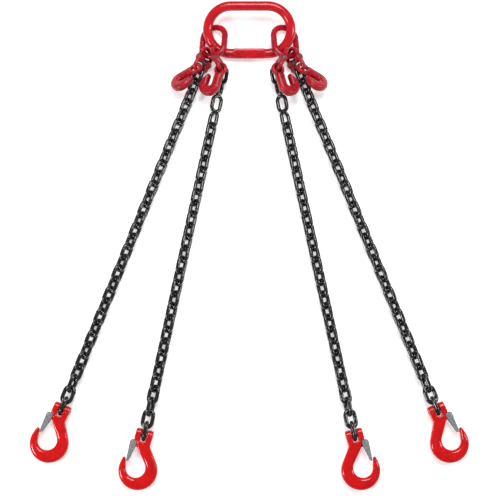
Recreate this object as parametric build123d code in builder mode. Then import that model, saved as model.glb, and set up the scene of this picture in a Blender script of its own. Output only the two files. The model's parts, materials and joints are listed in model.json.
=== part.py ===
from build123d import *
import os
from math import acos, asin, atan, atan2, copysign, cos, degrees, hypot, radians, sin

# Four leg chain sling lying flat: a master link, two sub-links, and on each leg a
# connecting link, a shortening grab hook, a chain and a clevis sling hook with a latch.
# X is to the right, Y is from the hooks to the master link, and Z = 0 is the floor.
# The left half is worked out, and the right half is its mirror image.
# Sizes are in millimetres and angles in degrees.

# ---- fits
running_gap = 0.3           # free space between two pieces that move on each other
crown_gap = 0.5             # the same where two bars cross at a slant
pin_clearance = 0.05        # radial clearance of a pin in its hole

# ---- chain
chain_bar = 8.0
chain_inner_width = 10.5
chain_inner_length = 24.0
links_per_leg = 32
section_links = {"upper": 11, "middle": 11}     # the lower section has the rest
even_link_roll = -40.0      # how far every other link leans over, counted from the first
odd_link_roll = 50.0
twist_links = 4             # links over which the roll fades to that of the end link
landing_length = 80.0       # length in which the chain comes down to the floor
rising_length = 190.0       # length in which it rises to the sling hook's pin

# ---- master link
master_bar = 20.0
master_inner_width = 150.0
master_inner_height = 75.0
master_flat_length = 62.0
master_flat_thickness = 16.0
master_flat_width = 22.0
master_lean = 17.8

# ---- sub-links
sub_bar = 12.5
sub_inner_width = 35.0
sub_inner_length = 58.0
sub_corner_angle = 35.4     # where it sits on the master link's round end
sub_corner_inset = 4.0      # how far its middle lies inside the master link's centre line
sub_yaw = 4.0               # turn of its long axis in plan
sub_slope = 21.7            # slope of its plane
sub_slope_heading = 53.3    # direction in which its plane rises, from -Y towards +X

# ---- connecting links
crown_bar = 8.5
crown_reach = 20.5          # from the pin to the inside of the crown
crown_inner_width = 24.0
crown_corner = 11.0         # bend radius at the centre of the bar
lug_radius = 8.0
lug_width = 6.5
lug_side_gap = 0.5
sleeve_length = 11.0
sleeve_diameter = 12.0
coupling_pin_diameter = 7.5

# ---- grab hooks
grab_slot = 10.0
grab_slot_end = 34.5        # from the eye to the centre of the slot's round end
grab_thickness = 16.0
grab_width = 46.0
grab_eye_diameter = 28.0
grab_eye_hole = 15.0
grab_eye_thickness = 10.0
grab_eye_offset = 14.0      # the eye stands over the shank, beside the slot
grab_bowl_reach = 37.0      # from the eye to the centre of the round end
grab_tip_reach = 13.0       # from the eye to the tip
grab_tip_radius = 3.5
grab_rounding = 3.0

# ---- sling hooks
hook_thickness = 18.0
hook_rounding = 2.8
bowl_radius = 18.5
bowl_reach = 64.0           # from the load pin to the centre of the bowl
back_radius = 37.0          # the outside of the hook
back_centre = (-5.5, -67.5)
hook_tip = (26.0, -51.5)    # the centre of its rounding
hook_tip_radius = 3.0
neck_back = (-16.5, -20.0)
neck_throat = (5.5, -28.0)
clevis_width = 33.0
clevis_slot = 10.5
clevis_depth = 14.2         # from the load pin to the slot's bottom
ear_radius = 10.0
load_pin_diameter = 10.0
retaining_pin_diameter = 3.0
retaining_pin_place = -11.0
latch_pivot = (16.5, -19.5)
latch_lug_radius = 4.6
latch_lug_thickness = 9.0
latch_spring_slot = 4.0
latch_radius = 6.4
latch_end = (19.0, -54.0)
latch_end_radius = 1.9
latch_sheet = 1.6
latch_side_gap = 0.25
latch_gap = 0.8
rivet_diameter = 4.0
rivet_head_diameter = 7.0
rivet_head_height = 1.1
spring_wire = 1.0
spring_pitch = 1.18


class Leg:
    """The attitude of the pieces of one leg, and then the frames that they lie in."""

    def __init__(self, name, seat, seat_offset, coupling_heading, coupling_fall, coupling_roll,
                 grab_place, grab_heading, grab_fall, grab_roll, grab_play,
                 chain_place, chain_heading, link_slack, hook_turn):
        self.name = name
        self.seat = seat                          # place on the sub-link's lower arc, to the left
        self.seat_offset = seat_offset            # where the sub-link crosses the upper crown
        self.coupling_heading = coupling_heading  # headings are plan angles from -Y towards +X
        self.coupling_fall = coupling_fall        # how far its lower end points down
        self.coupling_roll = coupling_roll        # rise of its pin's axis, to the left
        self.grab_place = grab_place              # where the grab hook hangs along the lower crown
        self.grab_heading = grab_heading
        self.grab_fall = grab_fall
        self.grab_roll = grab_roll
        self.grab_play = grab_play                # how far its eye lies off the centre of the crown
        self.chain_place = chain_place            # where the chain hangs along the lower crown
        self.chain_heading = chain_heading
        self.link_slack = link_slack              # how far each link is pushed back from taut
        self.hook_turn = hook_turn                # turn of the sling hook from the chain


legs = [
    Leg("outer", seat=33.0, seat_offset=0.0, coupling_heading=-28.7, coupling_fall=-0.8,
        coupling_roll=56.0, grab_place=7.2, grab_heading=-63.2, grab_fall=15.0, grab_roll=-34.6,
        grab_play=(2.8, -0.3), chain_place=-5.2, chain_heading=-20.5, link_slack=1.0, hook_turn=-3.5),
    Leg("inner", seat=-11.0, seat_offset=-6.1, coupling_heading=22.2, coupling_fall=-5.2,
        coupling_roll=76.5, grab_place=7.5, grab_heading=-15.8, grab_fall=-1.1, grab_roll=154.2,
        grab_play=(-0.5, -0.6), chain_place=-6.1, chain_heading=-11.3, link_slack=0.5, hook_turn=-3.0),
]


# ---------------------------------------------------------------- frames
def heading_vector(heading, fall=0.0):
    """The unit vector at a plan angle from -Y towards +X, pointing down by fall."""
    level = cos(radians(fall))
    return Vector(sin(radians(heading)) * level, -cos(radians(heading)) * level, -sin(radians(fall)))


def frame(origin, x_dir, y_dir):
    """The plane with this origin and these directions."""
    return Plane(origin=origin, x_dir=x_dir, z_dir=x_dir.cross(y_dir))


def rolled(origin, y_dir, roll):
    """The frame with this y, whose x is level to the right before it is turned about y."""
    level = Vector(y_dir.Y, -y_dir.X, 0).normalized()
    return frame(origin, level.rotate(Axis((0, 0, 0), y_dir), roll), y_dir)


def shifted(where, x, y):
    """The same frame, moved along its own x and y."""
    return Plane(origin=where.from_local_coords((x, y, 0)), x_dir=where.x_dir, z_dir=where.z_dir)


def inside(where, view, distance=0.0):
    """A sketch plane given in the local frame of where."""
    return Plane(where.location * view.offset(distance).location)


def turned(where):
    """The same frame turned half a turn about its z."""
    return Plane(origin=where.origin, x_dir=where.x_dir * -1, z_dir=where.z_dir)


def leaning_height(inner_width, bar, roll):
    """The centre height of a link that rests on the floor, leaning over by roll."""
    return (inner_width + bar) / 2 * abs(sin(radians(roll))) + bar / 2


def place_master(y):
    """The master link's frame, with its long side along x."""
    lean = radians(master_lean)
    up = Vector(0, cos(lean), sin(lean))
    height = master_bar / 2 + (master_inner_height + master_bar) / 2 * sin(lean)
    return frame(Vector(0, y, height), Vector(1, 0, 0), up)


def place_sub_link(master):
    """The left sub-link's frame: it lies on the floor under one arc, over the master link."""
    corner = (master_inner_height + master_bar) / 2 - sub_corner_inset
    straight = (master_inner_width - master_inner_height) / 2
    angle = radians(sub_corner_angle)
    middle = master.from_local_coords((-straight - corner * cos(angle), -corner * sin(angle), 0))
    uphill = heading_vector(sub_slope_heading)
    normal = Vector(0, 0, 1).rotate(Axis((0, 0, 0), uphill.cross(Vector(0, 0, 1))), sub_slope)
    long_axis = Vector(sin(radians(sub_yaw)), cos(radians(sub_yaw)), 0)
    y_dir = (long_axis - Vector(0, 0, 1) * (long_axis.dot(normal) / normal.Z)).normalized()
    x_dir = y_dir.cross(normal)
    half = (sub_inner_length - sub_inner_width) / 2
    radius = (sub_inner_width + sub_bar) / 2
    height = sub_bar / 2 + half * abs(y_dir.Z) + radius * hypot(x_dir.Z, y_dir.Z)
    return frame(Vector(middle.X, middle.Y, height), x_dir, y_dir)


def place_coupling(leg, sub_link):
    """The connecting link's frame at its pin, with its upper crown round the sub-link's bar."""
    seat = radians(leg.seat)
    outwards = sub_link.y_dir * -cos(seat) - sub_link.x_dir * sin(seat)
    radius = (sub_inner_width + sub_bar) / 2
    inset = radius - (sub_bar + crown_bar) / 2 - crown_gap
    half = (sub_inner_length - sub_inner_width) / 2
    down = heading_vector(leg.coupling_heading, leg.coupling_fall)
    attitude = rolled(Vector(0, 0, 0), down * -1, 180 + leg.coupling_roll)
    crown = sub_link.origin - sub_link.y_dir * half + outwards * inset - attitude.x_dir * leg.seat_offset
    return frame(crown + down * (crown_reach + crown_bar / 2), attitude.x_dir, attitude.y_dir)


def place_links(leg, start):
    """The frames of a leg's links, from the crown they start at to the sling hook."""
    forward = heading_vector(leg.chain_heading)
    step = chain_inner_length - leg.link_slack
    first = chain_inner_length / 2 - crown_bar / 2 - crown_gap
    resting = leaning_height(chain_inner_width, chain_bar, odd_link_roll)
    hook_end = leaning_height(chain_inner_width, chain_bar, 90)
    length = first + step * (links_per_leg - 1)
    base = [odd_link_roll if number % 2 else even_link_roll for number in range(links_per_leg)]
    start_shift = (leg.coupling_roll - base[0]) % 180 - 90
    end_shift = copysign(90, base[-1]) - base[-1]

    def slope(along):
        drop = -2 * (start.Z - resting) / landing_length * max(0, 1 - along / landing_length)
        return drop + 2 * (hook_end - resting) / rising_length * max(0, 1 - (length - along) / rising_length)

    links = []
    along = 0.0
    place = start
    advance = first
    for number in range(links_per_leg):
        tilt = atan(slope(along + advance / 2))
        place = place + (forward * cos(tilt) + Vector(0, 0, 1) * sin(tilt)) * advance
        along = along + advance * cos(tilt)
        here = atan(slope(along))
        direction = forward * cos(here) + Vector(0, 0, 1) * sin(here)
        fade_in = max(0, 1 - number / twist_links)
        fade_out = max(0, 1 - (links_per_leg - 1 - number) / twist_links)
        roll = base[number] + start_shift * fade_in + end_shift * fade_out
        lowest = leaning_height(chain_inner_width, chain_bar, roll)
        place = Vector(place.X, place.Y, max(place.Z, lowest))
        links.append(rolled(place, direction * -1, roll))
        advance = step
    return links


def place_leg(leg, sub_link):
    """Works out every frame of one leg."""
    leg.coupling = place_coupling(leg, sub_link)
    crown = -(crown_reach + crown_bar / 2)
    grab_y = heading_vector(leg.grab_heading, leg.grab_fall) * -1
    leg.grab_axis = leg.coupling.from_local_coords((leg.grab_place, crown, 0))
    attitude = rolled(leg.grab_axis, grab_y, leg.grab_roll)
    leg.grab = shifted(attitude, -leg.grab_play[0], -leg.grab_play[1])
    leg.chain_axis = leg.coupling.from_local_coords((leg.chain_place, crown, 0))
    leg.links = place_links(leg, leg.chain_axis)
    pin = leg.links[-1].from_local_coords(
        (0, (load_pin_diameter - chain_inner_length) / 2 + running_gap, 0))
    bowl_end = back_radius - back_centre[1] - hook_rounding
    fall = degrees(asin((pin.Z - hook_thickness / 2) / bowl_end))
    hook_y = heading_vector(leg.chain_heading + leg.hook_turn, fall) * -1
    leg.hook = rolled(pin, hook_y, 180)


def place_all(master_y):
    """Works out every frame, with the master link's centre at master_y."""
    master = place_master(master_y)
    sub_link = place_sub_link(master)
    for leg in legs:
        place_leg(leg, sub_link)
    return master, sub_link


master, sub_link = place_all(0.0)
top = (master_inner_height + master_bar) / 2 * cos(radians(master_lean)) + master_bar / 2
bottom = min(leg.hook.from_local_coords((*back_centre, 0)).Y for leg in legs) - back_radius
master, sub_link = place_all(-(top + bottom) / 2)


# ---------------------------------------------------------------- pieces
def ring(where, inner_width, inner_length, bar):
    """A closed link of round bar, with its long axis along the y of where."""
    radius = (inner_width + bar) / 2
    half = (inner_length - inner_width) / 2
    with BuildPart() as link:
        with BuildLine(where) as centre_line:
            CenterArc((0, half), radius, 0, 180)
            Line((-radius, half), (-radius, -half))
            CenterArc((0, -half), radius, 180, 180)
            Line((radius, -half), (radius, half))
        with BuildSketch(inside(where, Plane.XZ, -half)):
            with Locations((radius, 0)):
                Circle(bar / 2)
        sweep(path=centre_line.wires()[0])
    return link


def master_ring(where):
    """The master link, with the flattened stretch on its lower bar."""
    lower_bar = -(master_inner_height + master_bar) / 2
    long_axis = frame(where.origin, where.y_dir * -1, where.x_dir)
    plain = ring(long_axis, master_inner_height, master_inner_width, master_bar)
    with BuildPart() as link:
        add(plain.part)
        with BuildSketch(where):
            with Locations((0, lower_bar)):
                RectangleRounded(master_flat_length, master_flat_width, master_flat_width / 5)
        extrude(amount=master_flat_thickness / 2 - 1, both=True)
        with BuildSketch(inside(where, Plane.XY, master_flat_thickness / 2),
                         inside(where, Plane.XY, -master_flat_thickness / 2 - master_bar)):
            with Locations((0, lower_bar)):
                Rectangle(master_flat_length, master_flat_width + 2)
        extrude(amount=master_bar, mode=Mode.SUBTRACT)
    return link


def coupling_half(where):
    """Half a connecting link: crown towards +y, outer lug on the left, inner lug on the right."""
    inner_face = sleeve_length / 2 + lug_side_gap
    middle_face = inner_face + lug_width
    outer_face = middle_face + lug_side_gap
    end_face = outer_face + lug_width
    bar_x = (crown_inner_width + crown_bar) / 2
    bar_y = crown_reach + crown_bar / 2
    edge_x = bar_x + crown_bar / 2
    free_radius = lug_radius + running_gap
    shoulder = free_radius + crown_bar * 0.75
    with BuildPart() as half:
        with BuildLine(where) as centre_line:
            FilletPolyline((-bar_x, 0), (-bar_x, bar_y), (bar_x, bar_y), (bar_x, shoulder - 2),
                           radius=crown_corner)
        with BuildSketch(inside(where, Plane.XZ)):
            with Locations((-bar_x, 0)):
                Circle(crown_bar / 2)
        sweep(path=centre_line.wires()[0])
        with BuildSketch(where):
            with BuildLine():
                Polyline((inner_face, 0), (inner_face, lug_radius), (bar_x - crown_bar / 2, shoulder - 1),
                         (bar_x, shoulder + 1), (edge_x, shoulder - 1), (edge_x, 0), close=True)
            make_face()
        extrude(amount=crown_bar / 2, both=True)
        with BuildSketch(inside(where, Plane.YZ, inner_face)):
            Circle(lug_radius)
        extrude(amount=lug_width)
        with BuildSketch(inside(where, Plane.YZ, -end_face)):
            Circle(lug_radius)
        extrude(amount=lug_width)
        with BuildSketch(inside(where, Plane.YZ, middle_face)):
            Circle(free_radius)
        extrude(amount=edge_x, mode=Mode.SUBTRACT)
        with BuildSketch(inside(where, Plane.YZ, -outer_face)):
            Circle(free_radius)
        extrude(amount=outer_face, mode=Mode.SUBTRACT)
        with BuildSketch(inside(where, Plane.YZ, -edge_x)):
            Circle(coupling_pin_diameter / 2 + pin_clearance)
        extrude(amount=2 * edge_x, mode=Mode.SUBTRACT)
    return half


def coupling_pin(where):
    """The pin of a connecting link, as long as its lugs are wide."""
    reach = sleeve_length / 2 + 2 * (lug_side_gap + lug_width)
    with BuildPart() as pin:
        with BuildSketch(inside(where, Plane.YZ, -reach)):
            Circle(coupling_pin_diameter / 2)
        extrude(amount=2 * reach)
        chamfer(pin.edges().filter_by(GeomType.CIRCLE), 0.6)
    return pin


def coupling_sleeve(where):
    """The sleeve that grips the pin between the lugs."""
    with BuildPart() as sleeve:
        with BuildSketch(inside(where, Plane.YZ, -sleeve_length / 2)):
            Circle(sleeve_diameter / 2)
            Circle(coupling_pin_diameter / 2, mode=Mode.SUBTRACT)
        extrude(amount=sleeve_length)
    return sleeve


def on_circle(centre, radius, angle):
    """The point of a circle at an angle from +x."""
    return (centre[0] + radius * cos(radians(angle)), centre[1] + radius * sin(radians(angle)))


def outer_tangent(start, start_radius, end, end_radius, side):
    """Where a line touches two circles, on the left (1) or the right (-1) of the way between them."""
    way = degrees(atan2(end[1] - start[1], end[0] - start[0]))
    spread = degrees(acos((start_radius - end_radius) / hypot(end[0] - start[0], end[1] - start[1])))
    angle = way + side * spread
    return on_circle(start, start_radius, angle), on_circle(end, end_radius, angle)


def inner_tangent(start, start_radius, end, end_radius, side):
    """The same, for a line that crosses from one side of the circles to the other."""
    way = degrees(atan2(end[1] - start[1], end[0] - start[0]))
    spread = degrees(acos((start_radius + end_radius) / hypot(end[0] - start[0], end[1] - start[1])))
    angle = way + side * spread
    return on_circle(start, start_radius, angle), on_circle(end, end_radius, angle + 180)


def round_edges(piece, where, radius):
    """Rounds the edges of the flat faces that look along the z of where."""
    faces = piece.faces().filter_by(Axis((0, 0, 0), where.z_dir))
    fillet([edge for face in faces for edge in face.edges()], radius)


def grab_hook(where):
    """A grab hook: eye at the origin, slot and round end towards -y, jaw towards +x."""
    slot_x = grab_eye_offset
    left = slot_x - grab_slot / 2
    right = slot_x + grab_slot / 2
    bowl = (slot_x, -grab_bowl_reach)
    tip = (right + grab_tip_radius, -grab_tip_reach - grab_tip_radius)
    jaw, tip_outer = outer_tangent(bowl, grab_width / 2, tip, grab_tip_radius, -1)
    shank_edge = slot_x - grab_width / 2
    shank_top = -grab_eye_hole / 2 - 1.5
    with BuildPart() as hook:
        with BuildSketch(where):
            with BuildLine():
                Line((shank_edge, shank_top), (shank_edge, bowl[1]))
                ThreePointArc((shank_edge, bowl[1]), on_circle(bowl, grab_width / 2, -80), jaw)
                Line(jaw, tip_outer)
                ThreePointArc(tip_outer, on_circle(tip, grab_tip_radius, 100), (right, tip[1]))
                Line((right, tip[1]), (right, -grab_slot_end))
                ThreePointArc((right, -grab_slot_end), (slot_x, -grab_slot_end - grab_slot / 2),
                              (left, -grab_slot_end))
                Line((left, -grab_slot_end), (left, shank_top))
                Line((left, shank_top), (shank_edge, shank_top))
            make_face()
        extrude(amount=grab_thickness / 2, both=True)
        round_edges(hook, where, grab_rounding)
        with BuildSketch(where):
            Circle(grab_eye_diameter / 2)
        extrude(amount=grab_eye_thickness / 2, both=True)
        with BuildSketch(where):
            Circle(grab_eye_hole / 2)
        extrude(amount=grab_thickness, both=True, mode=Mode.SUBTRACT)
        rims = hook.edges().filter_by(GeomType.CIRCLE)
        fillet([edge for edge in rims if abs(edge.radius - grab_eye_hole / 2) < 0.01], grab_eye_thickness / 5)
    return hook


def hook_body(where):
    """A clevis sling hook: load pin along x through the origin, bowl towards -y, tip towards +x."""
    bowl = (0.0, -bowl_reach)
    neck_angle = degrees(atan2(neck_back[1] - back_centre[1], neck_back[0] - back_centre[0]))
    neck_reach = hypot(neck_back[1] - back_centre[1], neck_back[0] - back_centre[0])
    back_start = on_circle(back_centre, back_radius, neck_angle + degrees(acos(back_radius / neck_reach)))
    throat_angle = degrees(atan2(neck_throat[1] - bowl[1], neck_throat[0]))
    throat_reach = hypot(neck_throat[1] - bowl[1], neck_throat[0])
    bowl_back = on_circle(bowl, bowl_radius, throat_angle + degrees(acos(bowl_radius / throat_reach)))
    back_end, tip_outer = outer_tangent(back_centre, back_radius, hook_tip, hook_tip_radius, -1)
    bowl_front, tip_inner = inner_tangent(bowl, bowl_radius, hook_tip, hook_tip_radius, -1)
    side = clevis_width / 2
    shoulder = -clevis_depth - 3
    ear_start = ear_radius * 0.3
    ear_height = (ear_radius ** 2 - ear_start ** 2) ** 0.5
    foot = hook_thickness / 2 - 1
    lug = latch_lug_thickness / 2
    pivot_x, pivot_y = latch_pivot
    with BuildPart() as hook:
        with BuildSketch(where):
            with BuildLine():
                Line(neck_back, back_start)
                ThreePointArc(back_start, on_circle(back_centre, back_radius, -110), back_end)
                Line(back_end, tip_outer)
                ThreePointArc(tip_outer, on_circle(hook_tip, hook_tip_radius, 80), tip_inner)
                Line(tip_inner, bowl_front)
                ThreePointArc(bowl_front, on_circle(bowl, bowl_radius, -100), bowl_back)
                Line(bowl_back, neck_throat)
                Line(neck_throat, (side - 5, shoulder + 5))
                Line((side - 5, shoulder + 5), (neck_back[0], shoulder + 5))
                Line((neck_back[0], shoulder + 5), neck_back)
            make_face()
        extrude(amount=hook_thickness / 2, both=True)
        round_edges(hook, where, hook_rounding)
        with BuildSketch(inside(where, Plane.YZ, -side)):
            with BuildLine():
                Line((shoulder, foot), (-ear_start, ear_height))
                ThreePointArc((-ear_start, ear_height), (ear_radius, 0), (-ear_start, -ear_height))
                Line((-ear_start, -ear_height), (shoulder, -foot))
                Line((shoulder, -foot), (shoulder, foot))
            make_face()
        extrude(amount=clevis_width)
        with BuildSketch(inside(where, Plane.XY, lug), inside(where, Plane.XY, -lug - hook_thickness)):
            with Locations(latch_pivot):
                Circle(latch_radius + latch_gap)
        extrude(amount=hook_thickness, mode=Mode.SUBTRACT)
        with BuildSketch(where):
            with Locations(latch_pivot):
                Circle(latch_lug_radius)
            with BuildLine():
                Polyline((pivot_x, pivot_y - latch_lug_radius), (pivot_x, shoulder + 1), (0, shoulder + 1),
                         (0, neck_throat[1] + 1), (neck_throat[0] + 1, neck_throat[1] + 1), close=True)
            make_face()
        extrude(amount=lug, both=True)
        with BuildSketch(inside(where, Plane.XY, -latch_spring_slot / 2)):
            with Locations(latch_pivot):
                Circle(latch_lug_radius + latch_gap)
        extrude(amount=latch_spring_slot, mode=Mode.SUBTRACT)
        with BuildSketch(inside(where, Plane.XY, -lug - 1)):
            with Locations(latch_pivot):
                Circle(rivet_diameter / 2 + pin_clearance)
        extrude(amount=2 * lug + 2, mode=Mode.SUBTRACT)
        with BuildSketch(inside(where, Plane.YZ, -clevis_slot / 2)):
            with Locations((-clevis_depth + ear_radius * 1.5, 0)):
                Rectangle(ear_radius * 3, ear_radius * 4)
        extrude(amount=clevis_slot, mode=Mode.SUBTRACT)
        with BuildSketch(inside(where, Plane.YZ, -side - 1)):
            Circle(load_pin_diameter / 2)
        extrude(amount=clevis_width + 2, mode=Mode.SUBTRACT)
        with BuildSketch(inside(where, Plane.XY, -ear_radius - 1)):
            with Locations((retaining_pin_place, 0)):
                Circle(retaining_pin_diameter / 2)
        extrude(amount=2 * ear_radius + 2, mode=Mode.SUBTRACT)
    return hook


def load_pin(where):
    """The pin that carries the last link, drilled for the retaining pin."""
    with BuildPart() as pin:
        with BuildSketch(inside(where, Plane.YZ, -clevis_width / 2)):
            Circle(load_pin_diameter / 2)
        extrude(amount=clevis_width)
        chamfer(pin.edges().filter_by(GeomType.CIRCLE), 0.8)
        with BuildSketch(inside(where, Plane.XY, -load_pin_diameter)):
            with Locations((retaining_pin_place, 0)):
                Circle(retaining_pin_diameter / 2)
        extrude(amount=2 * load_pin_diameter, mode=Mode.SUBTRACT)
    return pin


def retaining_pin(where):
    """The spring pin that holds the load pin in the back ear."""
    with BuildPart() as pin:
        with BuildSketch(inside(where, Plane.XY, 0.5 - ear_radius)):
            with Locations((retaining_pin_place, 0)):
                Circle(retaining_pin_diameter / 2)
        extrude(amount=2 * ear_radius - 1)
        chamfer(pin.edges().filter_by(GeomType.CIRCLE), 0.4)
    return pin


def latch(where):
    """The latch: folded sheet, two cheeks beside the lug and a web on the outside."""
    cheek = latch_lug_thickness / 2 + latch_side_gap
    outer_pivot, outer_end = outer_tangent(latch_pivot, latch_radius, latch_end, latch_end_radius, 1)
    inner_pivot, inner_end = outer_tangent(latch_pivot, latch_radius, latch_end, latch_end_radius, -1)
    span = hypot(outer_end[0] - outer_pivot[0], outer_end[1] - outer_pivot[1])
    along = ((outer_end[0] - outer_pivot[0]) / span, (outer_end[1] - outer_pivot[1]) / span)
    inwards = (along[1], -along[0])
    way = degrees(atan2(latch_end[1] - latch_pivot[1], latch_end[0] - latch_pivot[0]))

    def point(start, depth):
        return (start[0] + inwards[0] * depth, start[1] + inwards[1] * depth)

    with BuildPart() as plate:
        with BuildSketch(where):
            with BuildLine():
                Line(outer_pivot, outer_end)
                ThreePointArc(outer_end, on_circle(latch_end, latch_end_radius, way), inner_end)
                Line(inner_end, inner_pivot)
                ThreePointArc(inner_pivot, on_circle(latch_pivot, latch_radius, way + 180), outer_pivot)
            make_face()
        extrude(amount=cheek + latch_sheet, both=True)
        with BuildSketch(where):
            with Locations(latch_pivot):
                Circle(latch_radius + latch_gap * 3)
            with BuildLine():
                Polyline(point(outer_pivot, latch_sheet), point(outer_end, latch_sheet),
                         point(outer_end, latch_radius * 3), point(outer_pivot, latch_radius * 3), close=True)
            make_face()
        extrude(amount=cheek, both=True, mode=Mode.SUBTRACT)
        with BuildSketch(where):
            with Locations(latch_pivot):
                Circle(rivet_diameter / 2)
        extrude(amount=2 * cheek, both=True, mode=Mode.SUBTRACT)
    return plate


def latch_rivet(where):
    """The rivet on which the latch swings."""
    reach = latch_lug_thickness / 2 + latch_side_gap + latch_sheet
    with BuildPart() as rivet:
        with BuildSketch(where):
            with Locations(latch_pivot):
                Circle(rivet_diameter / 2)
        extrude(amount=reach, both=True)
        with BuildSketch(inside(where, Plane.XY, reach), inside(where, Plane.XY, -reach - rivet_head_height)):
            with Locations(latch_pivot):
                Circle(rivet_head_diameter / 2)
        extrude(amount=rivet_head_height)
        ends = rivet.edges().filter_by(GeomType.CIRCLE).sort_by(Axis(where.origin, where.z_dir))
        chamfer([ends[0], ends[-1]], rivet_head_height / 2)
    return rivet


def latch_spring(where):
    """The latch's torsion spring: three coils round the rivet and a leg along the web."""
    coil_radius = rivet_diameter / 2 + pin_clearance * 8 + spring_wire / 2
    outer_pivot, outer_end = outer_tangent(latch_pivot, latch_radius, latch_end, latch_end_radius, 1)
    span = hypot(outer_end[0] - outer_pivot[0], outer_end[1] - outer_pivot[1])
    along = ((outer_end[0] - outer_pivot[0]) / span, (outer_end[1] - outer_pivot[1]) / span)
    axis = inside(where, Plane(origin=(*latch_pivot, 0), x_dir=(-along[1], along[0], 0), z_dir=(0, 0, 1)))
    leg_end = latch_radius * 2
    with BuildPart() as spring:
        for level in (-spring_pitch, spring_pitch):
            with BuildSketch(inside(axis, Plane.XZ)):
                with Locations((coil_radius, level)):
                    Circle(spring_wire / 2)
        revolve(axis=Axis(axis.origin, axis.z_dir))
        with BuildLine(axis) as wire:
            Line((coil_radius, -leg_end), (coil_radius, 0))
            CenterArc((0, 0), coil_radius, 0, 330)
        with BuildSketch(inside(axis, Plane.XZ, leg_end)):
            with Locations((coil_radius, 0)):
                Circle(spring_wire / 2)
        sweep(path=wire.wires()[0])
    return spring


def chain_section(frames):
    """A run of links, each one through the next."""
    with BuildPart() as section:
        for where in frames:
            add(ring(where, chain_inner_width, chain_inner_length, chain_bar).part)
    return section


def section_frames(leg):
    """The frames of each chain section, by name."""
    upper = section_links["upper"]
    middle = upper + section_links["middle"]
    return {"upper": leg.links[:upper], "middle": leg.links[upper:middle], "lower": leg.links[middle:]}


def save(name, piece):
    """Writes one node of the left half, and its mirror image on the right."""
    left_name = f"{name}_left"
    right_name = f"{name}_right"
    piece.part.label = left_name
    export_step(piece.part, f"parts/{left_name}.step")
    with BuildPart() as opposite:
        mirror(piece.part, about=Plane.YZ)
    opposite.part.label = right_name
    export_step(opposite.part, f"parts/{right_name}.step")
    print(name, round(piece.part.volume), round(opposite.part.volume), len(piece.part.solids()),
          piece.part.is_valid and opposite.part.is_valid)


def build_all():
    """Builds and writes every node."""
    os.makedirs("parts", exist_ok=True)
    link = master_ring(master)
    link.part.label = "master_link"
    export_step(link.part, "parts/master_link.step")
    save("sub_link", ring(sub_link, sub_inner_width, sub_inner_length, sub_bar))
    for leg in legs:
        save(f"{leg.name}_coupling_upper", coupling_half(leg.coupling))
        save(f"{leg.name}_coupling_lower", coupling_half(turned(leg.coupling)))
        save(f"{leg.name}_coupling_pin", coupling_pin(leg.coupling))
        save(f"{leg.name}_coupling_sleeve", coupling_sleeve(leg.coupling))
        save(f"{leg.name}_grab_hook", grab_hook(leg.grab))
        for place, frames in section_frames(leg).items():
            save(f"{leg.name}_chain_{place}", chain_section(frames))
        save(f"{leg.name}_hook", hook_body(leg.hook))
        save(f"{leg.name}_load_pin", load_pin(leg.hook))
        save(f"{leg.name}_retaining_pin", retaining_pin(leg.hook))
        save(f"{leg.name}_latch", latch(leg.hook))
        save(f"{leg.name}_latch_rivet", latch_rivet(leg.hook))
        save(f"{leg.name}_latch_spring", latch_spring(leg.hook))


if __name__ == "__main__":
    build_all()
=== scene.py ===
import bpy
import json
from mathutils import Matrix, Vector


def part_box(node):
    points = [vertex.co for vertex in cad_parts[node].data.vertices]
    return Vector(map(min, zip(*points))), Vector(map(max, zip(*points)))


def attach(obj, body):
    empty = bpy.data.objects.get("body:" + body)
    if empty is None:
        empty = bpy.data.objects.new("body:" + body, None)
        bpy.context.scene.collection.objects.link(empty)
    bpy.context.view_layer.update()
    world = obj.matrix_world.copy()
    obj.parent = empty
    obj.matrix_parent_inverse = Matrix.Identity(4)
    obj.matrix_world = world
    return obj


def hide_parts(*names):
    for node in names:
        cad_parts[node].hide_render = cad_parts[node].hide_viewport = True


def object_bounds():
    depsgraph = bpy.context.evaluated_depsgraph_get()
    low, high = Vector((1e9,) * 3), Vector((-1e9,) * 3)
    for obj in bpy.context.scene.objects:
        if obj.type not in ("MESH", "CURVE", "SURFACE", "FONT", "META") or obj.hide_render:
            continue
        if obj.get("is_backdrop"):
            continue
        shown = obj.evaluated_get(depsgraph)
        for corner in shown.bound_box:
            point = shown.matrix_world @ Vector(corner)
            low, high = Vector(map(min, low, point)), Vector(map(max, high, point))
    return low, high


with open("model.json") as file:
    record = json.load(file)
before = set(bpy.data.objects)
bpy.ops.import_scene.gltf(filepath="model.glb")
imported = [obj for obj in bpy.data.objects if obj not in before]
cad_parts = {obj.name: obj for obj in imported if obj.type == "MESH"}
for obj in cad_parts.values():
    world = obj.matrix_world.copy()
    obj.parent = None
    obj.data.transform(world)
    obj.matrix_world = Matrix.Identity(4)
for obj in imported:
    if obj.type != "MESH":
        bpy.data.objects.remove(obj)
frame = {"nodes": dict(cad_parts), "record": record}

"""The looks of a four leg chain sling: forged links and hooks, black chain and zinc latches.

Every piece is built where the frame's own nodes lie, and rides on the body of the node that it replaces.
"""

import json
import logging
import math
from dataclasses import dataclass, field
from enum import Enum
from typing import Any, Callable

import bmesh
import bpy
import numpy as np
from mathutils import Matrix, Vector, kdtree

LOG = logging.getLogger("sling")
MM = 0.001
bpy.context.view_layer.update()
Colour = tuple[float, float, float]


class Side(Enum):
    """The two mirrored halves of the sling."""

    LEFT = "left"
    RIGHT = "right"


class LegName(Enum):
    """The two legs of each half."""

    OUTER = "outer"
    INNER = "inner"


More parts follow.
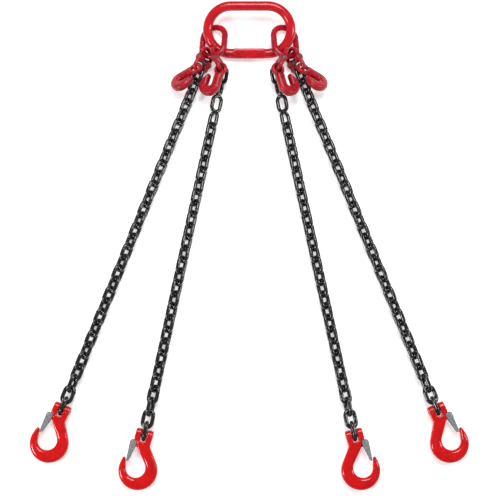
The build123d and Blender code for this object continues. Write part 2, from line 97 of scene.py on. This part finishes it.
# ------------------------------------------------------------------ shader maths
@dataclass(frozen=True)
class Field:
    """A number that varies over the surface, wrapped so that Python arithmetic builds Math nodes."""

    tree: "Shader"
    socket: Any

    def _maths(self, operation: str, first: Any, second: Any = 0.0) -> "Field":
        """Adds one Math node.

        Args:
            operation: the node's operation.
            first: a field or a number.
            second: a field or a number.

        Returns:
            The node's result as a field.
        """
        return self.tree.value("ShaderNodeMath", {"operation": operation}, {0: first, 1: second})

    def __add__(self, other: Any) -> "Field":
        """Sum."""
        return self._maths("ADD", self, other)

    __radd__ = __add__

    def __sub__(self, other: Any) -> "Field":
        """Difference."""
        return self._maths("SUBTRACT", self, other)

    def __rsub__(self, other: Any) -> "Field":
        """Reflected difference, for 1 - mask."""
        return self._maths("SUBTRACT", other, self)

    def __mul__(self, other: Any) -> "Field":
        """Product."""
        return self._maths("MULTIPLY", self, other)

    __rmul__ = __mul__

    def between(self, low: float, high: float) -> "Field":
        """A smooth step.

        Args:
            low: the value that becomes 0.
            high: the value that becomes 1.

        Returns:
            The stepped field.
        """
        settings = {"interpolation_type": "SMOOTHSTEP"}
        return self.tree.value("ShaderNodeMapRange", settings, {"Value": self, "From Min": low, "From Max": high})


class Shader:
    """A material's node tree, with one method that adds any node."""

    def __init__(self, name: str) -> None:
        """Starts an empty tree with a Principled shader.

        Args:
            name: the material's name.
        """
        self.material = bpy.data.materials.new(name)
        self.material.use_nodes = True
        self.nodes = self.material.node_tree.nodes
        self.links = self.material.node_tree.links
        self.nodes.clear()
        self.output = self.nodes.new("ShaderNodeOutputMaterial")
        self.surface = self.nodes.new("ShaderNodeBsdfPrincipled")
        self.links.new(self.surface.outputs[0], self.output.inputs[0])
        self.place = self.add("ShaderNodeTexCoord").outputs["Object"]

    def add(self, kind: str, settings: dict[str, Any] | None = None, inputs: dict[Any, Any] | None = None) -> Any:
        """Adds a node.

        Args:
            kind: the node's type.
            settings: properties that are set before its sockets, and the stops of a ramp.
            inputs: values or links by socket name or number.

        Returns:
            The node.
        """
        node = self.nodes.new(kind)
        for key, value in (settings or {}).items():
            setattr(node, key, value)
        for key, value in (inputs or {}).items():
            self.feed(node.inputs[key], value)
        return node

    def feed(self, socket: Any, value: Any) -> None:
        """Links a socket or sets its value."""
        if isinstance(value, Field):
            self.links.new(value.socket, socket)
        elif isinstance(value, bpy.types.NodeSocket):
            self.links.new(value, socket)
        else:
            socket.default_value = value

    def value(self, kind: str, settings: dict[str, Any], inputs: dict[Any, Any]) -> Field:
        """Adds a node and wraps its first output."""
        return Field(self, self.add(kind, settings, inputs).outputs[0])

    def noise(self, size: float, detail: float = 4.0, roughness: float = 0.55, stretch: Colour = (1, 1, 1)) -> Field:
        """Noise with features of a given size.

        Args:
            size: the size of its features in millimetres.
            detail: octaves.
            roughness: weight of the fine octaves.
            stretch: how much finer the pattern is along each axis.

        Returns:
            The noise, from 0 to 1.
        """
        place = self.add("ShaderNodeMapping", {"vector_type": "POINT"}, {"Vector": self.place, "Scale": stretch})
        inputs = {"Vector": place.outputs[0], "Scale": 1000.0 / size, "Detail": detail, "Roughness": roughness}
        return self.value("ShaderNodeTexNoise", {"noise_dimensions": "3D"}, inputs)

    def mix(self, factor: Any, first: Any, second: Any) -> Any:
        """Mixes two colours."""
        node = self.add("ShaderNodeMix", {"data_type": "RGBA"})
        self.feed(node.inputs[0], factor)
        for socket, colour in ((node.inputs[6], first), (node.inputs[7], second)):
            self.feed(socket, (*colour, 1.0) if isinstance(colour, tuple) else colour)
        return node.outputs[2]

    def bump(self, height: Field, depth: float, strength: float = 1.0) -> None:
        """Feeds the shader's normal.

        Args:
            height: the relief, from 0 to 1.
            depth: its depth in millimetres.
            strength: the node's strength.
        """
        inputs = {"Height": height, "Distance": depth * MM, "Strength": strength}
        self.feed(self.surface.inputs["Normal"], self.add("ShaderNodeBump", {}, inputs).outputs[0])


# ------------------------------------------------------------------ finishes
@dataclass(frozen=True)
class Enamel:
    """Red or black paint over forged or rolled steel.

    The paint lies thicker in places, has a fine orange peel, and is chipped to dark steel in specks.
    """

    name: str
    colour: Colour
    deep: Colour
    bare: Colour = (0.09, 0.075, 0.07)
    gloss: float = 0.22
    spread: float = 0.12
    coat: float = 0.5
    peel: float = 0.05
    forged: float = 0.0
    forged_size: float = 6.0
    chips: float = 0.70
    dust: float = 0.12
    sheen: float = 0.32

    def build(self) -> bpy.types.Material:
        """Builds the material."""
        shader = Shader(self.name)
        cloud = shader.noise(24.0, 3.0)
        mottle = shader.noise(5.0, 5.0, 0.6)
        skin = shader.noise(self.forged_size, 6.0, 0.62)
        peel = shader.noise(0.9, 2.0)
        speck = shader.noise(1.7, 3.0, 0.7)
        patch = shader.noise(15.0, 2.0)
        chipped = (speck * 0.72 + patch * 0.28).between(self.chips, self.chips + 0.03)
        shade = (cloud * 0.5 + mottle * 0.5).between(0.36, 0.66)
        paint = shader.mix(shade, self.deep, self.colour)
        dusty = shader.noise(3.2, 6.0, 0.7).between(0.52, 0.78) * self.dust
        pale = tuple(min(1.0, 0.35 + c * 0.75) for c in self.colour)
        paint = shader.mix(dusty, paint, pale)
        base = shader.mix(chipped, paint, self.bare)
        rough = mottle * self.spread + self.gloss - self.spread * 0.5 + chipped * 0.3 + dusty * 0.5
        shader.feed(shader.surface.inputs["Base Color"], base)
        shader.feed(shader.surface.inputs["Roughness"], rough)
        shader.feed(shader.surface.inputs["Coat Weight"], (1.0 - chipped) * self.coat)
        shader.feed(shader.surface.inputs["Coat Roughness"], 0.08)
        shader.feed(shader.surface.inputs["Specular IOR Level"], self.sheen)
        shader.feed(shader.surface.inputs["Metallic"], chipped * 0.8)
        relief = skin * self.forged + peel * self.peel - chipped * 0.25
        shader.bump(relief, 0.55, 0.9)
        return shader.material


@dataclass(frozen=True)
class Metal:
    """Bare or plated steel, brushed or drawn along one way, with dull spots."""

    name: str
    colour: Colour
    dull: Colour
    gloss: float = 0.28
    grain: Colour = (1.0, 1.0, 6.0)

    def build(self) -> bpy.types.Material:
        """Builds the material."""
        shader = Shader(self.name)
        spots = shader.noise(2.6, 5.0, 0.65).between(0.42, 0.68)
        grain = shader.noise(1.2, 3.0, 0.6, self.grain)
        shader.feed(shader.surface.inputs["Base Color"], shader.mix(spots * 0.8, self.colour, self.dull))
        shader.feed(shader.surface.inputs["Metallic"], 0.95 - spots * 0.25)
        shader.feed(shader.surface.inputs["Roughness"], grain * 0.16 + spots * 0.14 + (self.gloss - 0.1))
        shader.bump(grain * 0.6 + spots * 0.4, 0.08, 0.7)
        return shader.material


class Finish(Enum):
    """The finishes, one for each of the record's material slots."""

    MASTER_RED = Enamel("master red enamel", (0.60, 0.008, 0.018), (0.46, 0.004, 0.012), gloss=0.17, coat=0.10,
                        dust=0.03)
    LINK_RED = Enamel("link red enamel", (0.50, 0.008, 0.026), (0.30, 0.003, 0.012), gloss=0.26, coat=0.10,
                      forged=0.35, dust=0.06, chips=0.66)
    FORGED_RED = Enamel("forged red enamel", (0.50, 0.010, 0.026), (0.28, 0.003, 0.010), gloss=0.28, coat=0.10,
                        forged=0.75, forged_size=4.0, dust=0.07, chips=0.64)
    HOOK_RED = Enamel("hook red enamel", (0.68, 0.005, 0.006), (0.52, 0.002, 0.004), gloss=0.15, coat=0.12,
                      forged=0.12, forged_size=9.0, dust=0.02)
    CHAIN_BLACK = Enamel("chain black lacquer", (0.012, 0.012, 0.013), (0.003, 0.003, 0.003), gloss=0.16,
                         coat=0.5, spread=0.14, forged=0.22, forged_size=3.0, dust=0.04,
                         bare=(0.22, 0.21, 0.21), chips=0.63, sheen=0.5)
    ZINC = Metal("zinc plate", (0.62, 0.66, 0.70), (0.48, 0.51, 0.54), 0.20)
    SPRING_STEEL = Metal("spring wire", (0.42, 0.42, 0.43), (0.24, 0.23, 0.22), 0.24)
    PIN_STEEL = Metal("pin steel", (0.20, 0.17, 0.16), (0.10, 0.07, 0.065), 0.34, (5.0, 1.0, 1.0))


class Paintshop:
    """Builds each finish once and puts it on pieces."""

    def __init__(self) -> None:
        """Starts with no material built."""
        self.ready: dict[Finish, bpy.types.Material] = {}
        self.slots = {entry["node"]: entry["material_slot"] for entry in frame["record"]["subparts"]}

    def material(self, finish: Finish) -> bpy.types.Material:
        """The finish's material, built when it is first asked for."""
        if finish not in self.ready:
            self.ready[finish] = finish.value.build()
        return self.ready[finish]

    def of_node(self, node: str) -> Finish:
        """The finish that the record names for a node."""
        return Finish[self.slots[node].upper()]

    def dress(self, piece: bpy.types.Object, finish: Finish) -> None:
        """Puts one finish all over a piece."""
        piece.data.materials.clear()
        piece.data.materials.append(self.material(finish))


# ------------------------------------------------------------------ meshes
BODY_OF = {node: body for body, nodes in frame["record"]["behaviour"]["bodies"].items() for node in nodes}


def settle(piece: bpy.types.Object, node: str, shop: Paintshop) -> None:
    """Makes a piece stand for a node: same body, same finish.

    Args:
        piece: the finished object.
        node: the node it replaces.
        shop: where its finish comes from.
    """
    for polygon in piece.data.polygons:
        polygon.use_smooth = True
    shop.dress(piece, shop.of_node(node))
    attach(piece, BODY_OF[node])
    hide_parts(node)
    LOG.info("%s: %d faces", piece.name, len(piece.data.polygons))


def islands(node: str) -> list[np.ndarray]:
    """The separate solids of a node.

    Args:
        node: the node's name.

    Returns:
        The corner points of each solid, in metres.
    """
    work = bmesh.new()
    work.from_mesh(frame["nodes"][node].data)
    bmesh.ops.remove_doubles(work, verts=work.verts, dist=1e-6)
    seen: set[int] = set()
    found = []
    work.verts.ensure_lookup_table()
    for start in work.verts:
        if start.index in seen:
            continue
        stack = [start]
        seen.add(start.index)
        points = []
        while stack:
            vertex = stack.pop()
            points.append(tuple(vertex.co))
            for edge in vertex.link_edges:
                other = edge.other_vert(vertex)
                if other.index not in seen:
                    seen.add(other.index)
                    stack.append(other)
        found.append(np.array(points))
    work.free()
    return found


def link_frame(points: np.ndarray) -> Matrix:
    """The frame of a closed link: x across, y along, z through it.

    Args:
        points: the link's corner points.

    Returns:
        The frame as a matrix, at the middle of the link's box in that frame.
    """
    centre = points.mean(axis=0)
    _, axes = np.linalg.eigh(np.cov((points - centre).T))
    reach = [np.ptp(points @ axes[:, k]) for k in range(3)]
    order = np.argsort(reach)
    through, across, along = (axes[:, k] for k in order)
    middle = sum(axis * (points @ axis).min() / 2 + axis * (points @ axis).max() / 2
                 for axis in (through, across, along))
    through = np.cross(across, along)
    turn = Matrix([across, along, through]).transposed().to_4x4()
    return Matrix.Translation(Vector(middle)) @ turn


def smooth_mesh(mesh: bpy.types.Mesh, passes: int) -> None:
    """Evens out a mesh.

    Args:
        mesh: the mesh.
        passes: how many times each point is moved halfway to its neighbours' middle.
    """
    work = bmesh.new()
    work.from_mesh(mesh)
    for _ in range(passes):
        bmesh.ops.smooth_vert(work, verts=work.verts, factor=0.5, use_axis_x=True, use_axis_y=True, use_axis_z=True)
    work.to_mesh(mesh)
    work.free()


def swept_ring(name: str, where: Matrix, half_straight: float, bend: float,
               section: Callable[[float, float, float], tuple[float, float]],
               steps: int, around: int) -> bpy.types.Object:
    """A closed ring of bar, its long axis along y.

    Args:
        name: the piece's name.
        where: the ring's frame.
        half_straight: half the length of its straight sides, in metres.
        bend: the radius of its bends at the centre of the bar.
        section: gives the outward and upward offsets for a place x, y and an angle round the bar.
        steps: points along each bend and each straight.
        around: points round the bar.

    Returns:
        The piece.
    """
    path = []
    for k in range(steps):
        angle = math.pi * k / steps
        path.append((bend * math.cos(angle), half_straight + bend * math.sin(angle), math.cos(angle), math.sin(angle)))
    for k in range(steps):
        path.append((-bend, half_straight - 2 * half_straight * k / steps, -1.0, 0.0))
    path += [(-x, -y, -nx, -ny) for x, y, nx, ny in path]
    vertices = []
    faces = []
    count = len(path)
    for x, y, nx, ny in path:
        for j in range(around):
            out, up = section(x, y, 2 * math.pi * j / around)
            vertices.append(where @ Vector((x + nx * out, y + ny * out, up)))
    for i in range(count):
        for j in range(around):
            k = (i + 1) % count
            m = (j + 1) % around
            faces.append((i * around + j, k * around + j, k * around + m, i * around + m))
    mesh = bpy.data.meshes.new(name)
    mesh.from_pydata(vertices, [], faces)
    work = bmesh.new()
    work.from_mesh(mesh)
    bmesh.ops.recalc_face_normals(work, faces=work.faces)
    work.to_mesh(mesh)
    work.free()
    piece = bpy.data.objects.new(name, mesh)
    bpy.context.scene.collection.objects.link(piece)
    return piece


@dataclass
class Rings:
    """The master link, with its pressed flats, and the two sub-links."""

    shop: Paintshop
    master_bar: float = 20.0 * MM
    flat_length: float = 62.0 * MM
    flat_thickness: float = 16.0 * MM
    flat_width: float = 20.6 * MM
    flat_run: float = 5.0 * MM
    flat_roundness: float = 0.42
    sub_bar: float = 12.5 * MM

    def master(self) -> None:
        """Builds the master link over its node."""
        points = islands("master_link")[0]
        where = link_frame(points)
        local = np.array([(where.inverted() @ Vector(p))[:] for p in points])
        if (where @ Vector((1, 0, 0)) - where.translation).y > 0:
            where = where @ Matrix.Rotation(math.pi, 4, "Z")
        width = float(np.ptp(local[:, 0]))
        length = float(np.ptp(local[:, 1]))
        radius = self.master_bar / 2
        bend = width / 2 - radius

        def section(x: float, y: float, angle: float) -> tuple[float, float]:
            """A round bar that turns into a pressed flat on the lower side."""
            out = radius * math.cos(angle)
            up = radius * math.sin(angle)
            share = min(1.0, max(0.0, (self.flat_length / 2 - abs(y)) / self.flat_run + 0.5)) if x > 0 else 0.0
            share = share * share * (3 - 2 * share)
            power = self.flat_roundness
            flat_out = self.flat_width / 2 * math.copysign(abs(math.cos(angle)) ** power, math.cos(angle))
            flat_up = self.flat_thickness / 2 * math.copysign(abs(math.sin(angle)) ** power, math.sin(angle))
            return out + (flat_out - out) * share, up + (flat_up - up) * share

        half = length / 2 - radius - bend
        piece = swept_ring("master_link_ring", where, half, bend, section, 64, 32)
        settle(piece, "master_link", self.shop)

    def sub_links(self) -> None:
        """Builds both sub-links over their nodes."""
        for side in Side:
            node = f"sub_link_{side.value}"
            points = islands(node)[0]
            where = link_frame(points)
            local = np.array([(where.inverted() @ Vector(p))[:] for p in points])
            radius = self.sub_bar / 2
            bend = np.ptp(local[:, 0]) / 2 - radius
            half = np.ptp(local[:, 1]) / 2 - radius - bend

            def section(x: float, y: float, angle: float) -> tuple[float, float]:
                """A round bar with the low ridge of a butt weld on one side."""
                ridge = 0.35 * MM * math.exp(-((y / (1.6 * MM)) ** 2)) if x < 0 else 0.0
                return (radius + ridge) * math.cos(angle), (radius + ridge) * math.sin(angle)

            piece = swept_ring(f"{node}_ring", where, half, float(bend), section, 40, 24)
            settle(piece, node, self.shop)


@dataclass
class Chain:
    """The chain sections: welded links, each placed by Geometry Nodes on the node's own solids."""

    shop: Paintshop
    bar: float = 8.0 * MM
    link_width: float = 18.5 * MM
    link_length: float = 32.0 * MM
    points_around_link: int = 48
    points_around_bar: int = 16
    weld_height: float = 0.055
    weld_reach: float = 3.0 * MM
    tree: Any = field(default=None)

    def build_tree(self) -> None:
        """Builds the tree that sweeps one link and puts it on every point."""
        tree = bpy.data.node_groups.new("links on points", "GeometryNodeTree")
        inputs = (("Geometry", "NodeSocketGeometry", None), ("Width", "NodeSocketFloat", self.link_width),
                  ("Length", "NodeSocketFloat", self.link_length), ("Bar", "NodeSocketFloat", self.bar),
                  ("Weld", "NodeSocketFloat", self.weld_height), ("Weld Reach", "NodeSocketFloat", self.weld_reach),
                  ("Finish", "NodeSocketMaterial", None))
        for name, kind, value in inputs:
            socket = tree.interface.new_socket(name, in_out="INPUT", socket_type=kind)
            if value is not None:
                socket.default_value = value
        tree.interface.new_socket("Geometry", in_out="OUTPUT", socket_type="NodeSocketGeometry")

        def add(kind: str, settings: dict[str, Any] | None = None, **links: Any) -> Any:
            """Adds a node, sets its properties, then links or sets its sockets."""
            node = tree.nodes.new(kind)
            for key, value in (settings or {}).items():
                setattr(node, key, value)
            for key, value in links.items():
                number = int(key[1:]) if key[0] == "i" and key[1:].isdigit() else None
                socket = node.inputs[number] if number is not None else node.inputs[key.replace("_", " ")]
                if isinstance(value, bpy.types.NodeSocket):
                    tree.links.new(value, socket)
                else:
                    socket.default_value = value
            return node

        def maths(operation: str, first: Any, second: Any = 0.0) -> Any:
            """One Math node."""
            return add("ShaderNodeMath", {"operation": operation}, i0=first, i1=second).outputs[0]

        given = tree.nodes.new("NodeGroupInput").outputs
        outline = add("GeometryNodeCurvePrimitiveQuadrilateral", {"mode": "RECTANGLE"}, Width=given["Width"],
                      Height=given["Length"])
        bend = maths("MULTIPLY", given["Width"], 0.4999)
        rounded = add("GeometryNodeFilletCurve", {}, Curve=outline.outputs[0], Radius=bend)
        for socket in rounded.inputs:
            if socket.name == "Limit Radius":
                socket.default_value = True
            if socket.name == "Count":
                socket.default_value = 8
        if hasattr(rounded, "mode"):
            rounded.mode = "POLY"
        even = add("GeometryNodeResampleCurve", {}, Curve=rounded.outputs[0])
        for socket in even.inputs:
            if socket.name == "Count":
                socket.default_value = self.points_around_link
        place = add("ShaderNodeSeparateXYZ", {}, Vector=add("GeometryNodeInputPosition").outputs[0])
        near = add("ShaderNodeMapRange", {"interpolation_type": "SMOOTHSTEP"},
                   Value=maths("ABSOLUTE", place.outputs[1]), From_Min=given["Weld Reach"], From_Max=0.0)
        welded = maths("MULTIPLY", near.outputs[0], maths("GREATER_THAN", place.outputs[0], 0.0))
        swell = maths("ADD", maths("MULTIPLY", welded, given["Weld"]), 1.0)
        thick = add("GeometryNodeSetCurveRadius", {}, Curve=even.outputs[0], Radius=swell)
        round_bar = add("GeometryNodeCurvePrimitiveCircle", {"mode": "RADIUS"},
                        Resolution=self.points_around_bar,
                        Radius=maths("MULTIPLY", given["Bar"], 0.5))
        link = add("GeometryNodeCurveToMesh", {}, Curve=thick.outputs[0], Profile_Curve=round_bar.outputs[0])
        for socket in link.inputs:
            if socket.name == "Scale":
                tree.links.new(swell, socket)
        turn = add("GeometryNodeInputNamedAttribute", {"data_type": "FLOAT_VECTOR"}, Name="turn")
        placed = add("GeometryNodeInstanceOnPoints", {}, Points=given["Geometry"], Instance=link.outputs[0],
                     Rotation=turn.outputs[0])
        real = add("GeometryNodeRealizeInstances", {}, Geometry=placed.outputs[0])
        smooth = add("GeometryNodeSetShadeSmooth", {}, Geometry=real.outputs[0])
        dressed = add("GeometryNodeSetMaterial", {}, Geometry=smooth.outputs[0], Material=given["Finish"])
        tree.links.new(dressed.outputs[0], tree.nodes.new("NodeGroupOutput").inputs[0])
        self.tree = tree

    def section(self, node: str) -> None:
        """Builds one chain section over its node.

        Args:
            node: the section's node.
        """
        frames = [link_frame(points) for points in islands(node)]
        mesh = bpy.data.meshes.new(node + "_points")
        mesh.from_pydata([where.translation for where in frames], [], [])
        turn = mesh.attributes.new("turn", "FLOAT_VECTOR", "POINT")
        for number, where in enumerate(frames):
            turn.data[number].vector = where.to_euler("XYZ")[:]
        carrier = bpy.data.objects.new(node + "_links", mesh)
        bpy.context.scene.collection.objects.link(carrier)
        modifier = carrier.modifiers.new("links", "NODES")
        modifier.node_group = self.tree
        names = {item.name: item.identifier for item in self.tree.interface.items_tree if item.in_out == "INPUT"}
        modifier[names["Width"]] = self.link_width
        modifier[names["Length"]] = self.link_length
        modifier[names["Bar"]] = self.bar
        modifier[names["Weld"]] = self.weld_height
        modifier[names["Weld Reach"]] = self.weld_reach
        modifier[names["Finish"]] = self.shop.material(self.shop.of_node(node))
        bpy.context.view_layer.update()
        shape = bpy.data.meshes.new_from_object(carrier.evaluated_get(bpy.context.evaluated_depsgraph_get()))
        carrier.modifiers.remove(modifier)
        carrier.data = shape
        work = bmesh.new()
        work.from_mesh(shape)
        bmesh.ops.remove_doubles(work, verts=work.verts, dist=1e-7)
        bmesh.ops.recalc_face_normals(work, faces=work.faces)
        work.to_mesh(shape)
        work.free()
        settle(carrier, node, self.shop)

    def build(self) -> None:
        """Builds every section of every leg."""
        self.build_tree()
        for side in Side:
            for leg in LegName:
                for place in ("upper", "middle", "lower"):
                    self.section(f"{leg.value}_chain_{place}_{side.value}")


@dataclass
class Forgings:
    """Forged pieces: the node's shape with its edges drawn round, as a die leaves them."""

    shop: Paintshop
    passes: int = 5
    coupling_grain: float = 0.55 * MM
    grab_grain: float = 0.8 * MM
    grab_crown: float = 7.0 * MM
    hook_grain: float = 0.85 * MM
    hook_crown: float = 9.0 * MM
    clevis_reach: float = 34 * MM
    crown_start: float = 48 * MM
    rim_half: float = 0.6 * MM
    rim_share: float = 0.40
    crown_passes: int = 4

    def forge(self, node: str, grain: float, passes: int, crown: float = 0.0,
              keep: Callable[[Vector], float] = lambda point: 1.0) -> None:
        """Softens a node's edges.

        Args:
            node: the node.
            grain: the size of the mesh's faces, in metres.
            passes: smoothing passes.
            crown: how far in from the outline the flat faces are drawn down, in metres.
            keep: how much of that applies at a point.
        """
        mesh = frame["nodes"][node].data.copy()
        mesh.name = node + "_forged"
        work = bmesh.new()
        work.from_mesh(mesh)
        bmesh.ops.remove_doubles(work, verts=work.verts, dist=1e-6)
        work.to_mesh(mesh)
        work.free()
        piece = bpy.data.objects.new(node + "_forged", mesh)
        bpy.context.scene.collection.objects.link(piece)
        remesh = piece.modifiers.new("even faces", "REMESH")
        remesh.mode = "VOXEL"
        remesh.voxel_size = grain
        smooth = piece.modifiers.new("drawn edges", "SMOOTH")
        smooth.factor = 0.5
        smooth.iterations = passes
        bpy.context.view_layer.update()
        shape = bpy.data.meshes.new_from_object(piece.evaluated_get(bpy.context.evaluated_depsgraph_get()))
        piece.modifiers.clear()
        piece.data = shape
        if crown > 0:
            self.crown(piece, crown, keep)
        settle(piece, node, self.shop)

    def crown(self, piece: bpy.types.Object, reach: float, keep: Callable[[Vector], float]) -> None:
        """Draws a flat forging down towards its outline, so that its section becomes an oval.

        Args:
            piece: the forging.
            reach: how far in from the outline it is drawn down, in metres.
            keep: gives, for a point in the forging's own frame, how much of the drawing-down applies.
        """
        points = np.array([vertex.co[:] for vertex in piece.data.vertices])
        centre = points.mean(axis=0)
        _, axes = np.linalg.eigh(np.cov((points - centre).T))
        through = axes[:, 0]
        height = (points - centre) @ through
        height -= (height.max() + height.min()) / 2
        flat = points - np.outer(height, through)
        rim = flat[np.abs(height) < self.rim_half]
        tree = kdtree.KDTree(len(rim))
        for number, point in enumerate(rim):
            tree.insert(point, number)
        tree.balance()
        for number, vertex in enumerate(piece.data.vertices):
            _, _, gap = tree.find(flat[number])
            share = min(1.0, gap / reach)
            oval = self.rim_share + (1.0 - self.rim_share) * math.sqrt(1.0 - (1.0 - share) ** 2)
            amount = 1.0 - (1.0 - oval) * keep(Vector(flat[number]))
            vertex.co = Vector(flat[number] + through * (height[number] * amount))
        smooth_mesh(piece.data, self.crown_passes)

    def away_from(self, node: str, start: float, end: float) -> Callable[[Vector], float]:
        """A share that grows with the distance from a node's middle.

        Args:
            node: the node that is kept clear.
            start: the distance where the share leaves 0, in metres.
            end: the distance where it reaches 1.

        Returns:
            The share as a function of a point.
        """
        low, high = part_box(node)
        middle = (Vector(low) + Vector(high)) / 2

        def share(point: Vector) -> float:
            """The share at one point."""
            step = min(1.0, max(0.0, ((point - middle).length - start) / (end - start)))
            return step * step * (3 - 2 * step)

        return share

    def build(self) -> None:
        """Builds the connecting links, the grab hooks and the sling hooks."""
        for side in Side:
            for leg in LegName:
                stem = leg.value
                for half in ("upper", "lower"):
                    self.forge(f"{stem}_coupling_{half}_{side.value}", self.coupling_grain, self.passes)
                self.forge(f"{stem}_grab_hook_{side.value}", self.grab_grain, self.passes, self.grab_crown)
                clear_of_pin = self.away_from(f"{stem}_load_pin_{side.value}", self.clevis_reach, self.crown_start)
                self.forge(f"{stem}_hook_{side.value}", self.hook_grain, self.passes, self.hook_crown, clear_of_pin)


@dataclass
class Fittings:
    """The pins, sleeves, latches, rivets and springs, which keep their own shape."""

    shop: Paintshop
    kinds: tuple[str, ...] = ("coupling_pin", "coupling_sleeve", "load_pin", "retaining_pin", "latch",
                              "latch_rivet", "latch_spring")

    def build(self) -> None:
        """Dresses each fitting."""
        for side in Side:
            for leg in LegName:
                for kind in self.kinds:
                    node = f"{leg.value}_{kind}_{side.value}"
                    self.shop.dress(frame["nodes"][node], self.shop.of_node(node))


# ------------------------------------------------------------------ studio
@dataclass
class Studio:
    """A pale floor, large soft lights and the camera above the sling."""

    distance: float = 2.350
    elevation: float = 77.0
    lens: float = 85.6
    master_ahead: float = 0.4553
    floor_glow: float = 0.42
    floor_reach: float = 30.0
    floor_gap: float = 0.0005
    sky: float = 0.26

    def floor(self) -> None:
        """Lays the floor under the sling."""
        shader = Shader("pale floor")
        shader.feed(shader.surface.inputs["Base Color"], (0.93, 0.93, 0.93, 1.0))
        shader.feed(shader.surface.inputs["Emission Color"], (1.0, 1.0, 1.0, 1.0))
        shader.feed(shader.surface.inputs["Emission Strength"], self.floor_glow)
        shader.feed(shader.surface.inputs["Roughness"], shader.noise(40.0) * 0.1 + 0.6)
        mesh = bpy.data.meshes.new("floor")
        reach = self.floor_reach
        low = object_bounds()[0][2] - self.floor_gap
        mesh.from_pydata([(-reach, -reach, low), (reach, -reach, low), (reach, reach, low), (-reach, reach, low)],
                         [], [(0, 1, 2, 3)])
        mesh.materials.append(shader.material)
        piece = bpy.data.objects.new("floor", mesh)
        bpy.context.scene.collection.objects.link(piece)
        piece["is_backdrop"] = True

    def light(self, name: str, place: Colour, size: float, power: float) -> None:
        """Hangs one soft light that looks at the sling.

        Args:
            name: its name.
            place: where it hangs, in metres.
            size: the side of its square.
            power: its power in watts.
        """
        lamp = bpy.data.lights.new(name, "AREA")
        lamp.shape = "SQUARE"
        lamp.size = size
        lamp.energy = power
        piece = bpy.data.objects.new(name, lamp)
        piece.location = place
        piece.rotation_euler = (-Vector(place)).to_track_quat("-Z", "Y").to_euler()
        bpy.context.scene.collection.objects.link(piece)

    def camera(self) -> None:
        """Sets the camera over the sling, a little towards its hooks."""
        low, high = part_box("master_link")
        target = Vector((0.0, (low[1] + high[1]) / 2 - self.master_ahead, 0.0))
        tilt = math.radians(90 - self.elevation)
        place = target + self.distance * Vector((0, -math.sin(tilt), math.cos(tilt)))
        view = bpy.data.cameras.new("camera")
        view.lens = self.lens
        view.sensor_width = 36.0
        view.shift_x = 0.0014
        view.clip_end = 100.0
        piece = bpy.data.objects.new("camera", view)
        piece.location = place
        piece.rotation_euler = (math.radians(90 - self.elevation), 0.0, 0.0)
        bpy.context.scene.collection.objects.link(piece)
        bpy.context.scene.camera = piece

    def build(self) -> None:
        """Builds the floor, the lights and the camera."""
        self.floor()
        self.light("top light", (0.2, 1.1, 2.4), 1.1, 44.0)
        self.light("left light", (-1.9, -0.9, 1.5), 0.6, 30.0)
        self.light("right light", (2.0, 0.1, 1.3), 0.5, 14.0)
        world = bpy.data.worlds.new("studio")
        world.use_nodes = True
        world.node_tree.nodes["Background"].inputs[0].default_value = (1.0, 1.0, 1.0, 1.0)
        world.node_tree.nodes["Background"].inputs[1].default_value = self.sky
        bpy.context.scene.world = world
        bpy.context.scene.view_settings.view_transform = "Standard"
        self.camera()


def main() -> None:
    """Builds the studio and every piece of the sling."""
    logging.basicConfig(level=logging.INFO, format="%(name)s: %(message)s")
    Studio().build()
    shop = Paintshop()
    rings = Rings(shop)
    rings.master()
    rings.sub_links()
    Chain(shop).build()
    Forgings(shop).build()
    Fittings(shop).build()


if __name__ == "__main__":
    main()
